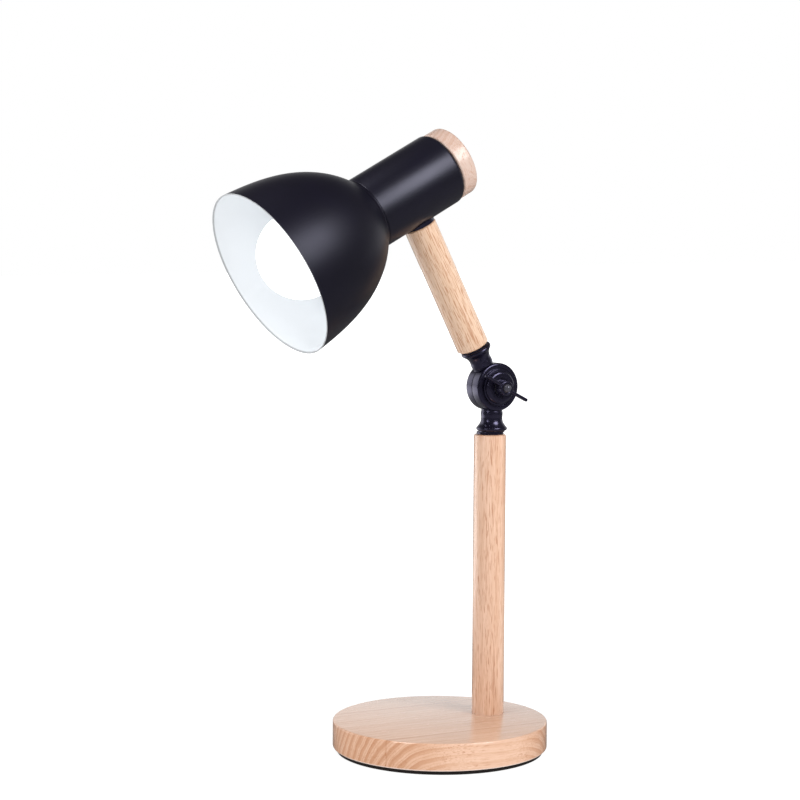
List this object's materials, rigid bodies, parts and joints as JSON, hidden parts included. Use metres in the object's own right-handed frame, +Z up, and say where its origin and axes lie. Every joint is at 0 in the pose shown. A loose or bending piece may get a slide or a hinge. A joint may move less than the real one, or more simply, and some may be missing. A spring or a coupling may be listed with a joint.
{
  "type": "desk lamp",
  "caption": "Desk lamp with a round wooden base and post, a friction elbow with a wing nut, a wooden arm and a black metal dome shade that swivels.",
  "frame": {"origin": "centre of the underside of the base pad", "axes": "+Z up along the post; the post stands towards +X, the arm leans towards -X in the plane y = 0, and the wing nut of the elbow faces -Y"},
  "size_m": [0.2571, 0.16, 0.4618],
  "materials": {
    "pad": "matte foam",
    "wood": "pale rubberwood under a satin lacquer",
    "steel": "zinc plated",
    "casting_paint": "gloss black paint",
    "shade_paint": "satin black powder coat outside, white inside the shade",
    "black_plastic": "matte",
    "white_plastic": "satin",
    "board": "white solder mask",
    "brass": "plain",
    "opal": "opal"
  },
  "bodies": {
    "base": {"base_pad": "pad", "base_disc": "wood", "base_weight": "steel", "weight_screw_1": "steel", "weight_screw_2": "steel", "weight_screw_3": "steel", "cord_bushing": "black_plastic", "post": "wood", "post_pipe": "steel", "post_washer": "steel", "post_nut": "steel", "foot_washer": "casting_paint", "lower_swivel": "casting_paint", "friction_washer": "black_plastic", "bolt_washer": "steel", "spring_washer": "steel", "swivel_bolt": "casting_paint"},
    "arm": {"upper_swivel": "casting_paint", "upper_arm": "wood", "arm_pipe": "steel", "head_washer": "steel", "head_nut": "steel"},
    "head": {"head_saddle": "black_plastic", "housing": "shade_paint", "rear_cap": "wood", "cap_screw": "steel", "holder_bracket": "steel", "lamp_holder": "black_plastic", "holder_nipple": "steel", "holder_nut": "steel", "holder_shell": "brass", "centre_contact": "brass", "shade": "shade_paint", "shade_ring": "black_plastic"},
    "clamp_nut": {"wing_nut": "casting_paint"},
    "bulb": {"bulb_tip": "black_plastic", "bulb_cap": "steel", "bulb_collar": "white_plastic", "led_board": "board", "bulb_globe": "opal"}
  },
  "joints": [
    {"name": "elbow", "type": "hinge", "parent": "base", "child": "arm", "pos_m": [0.0431, 0, 0.2712], "axis": [0, 1, 0], "range_deg": [-67, 122]},
    {"name": "head_swivel", "type": "hinge", "parent": "arm", "child": "head", "pos_m": [-0.0334, 0, 0.4166], "axis": [-0.4656, 0, 0.885], "range_deg": [-170, 170]},
    {"name": "wing_nut_turn", "type": "hinge", "parent": "base", "child": "clamp_nut", "pos_m": [0.0431, -0.018, 0.2712], "axis": [0, -1, 0], "range_deg": [0, 360]},
    {"name": "bulb_turn", "type": "hinge", "parent": "head", "child": "bulb", "pos_m": [-0.0334, 0, 0.4166], "axis": [-0.885, 0, -0.4656], "range_deg": [0, 360]}
  ]
}
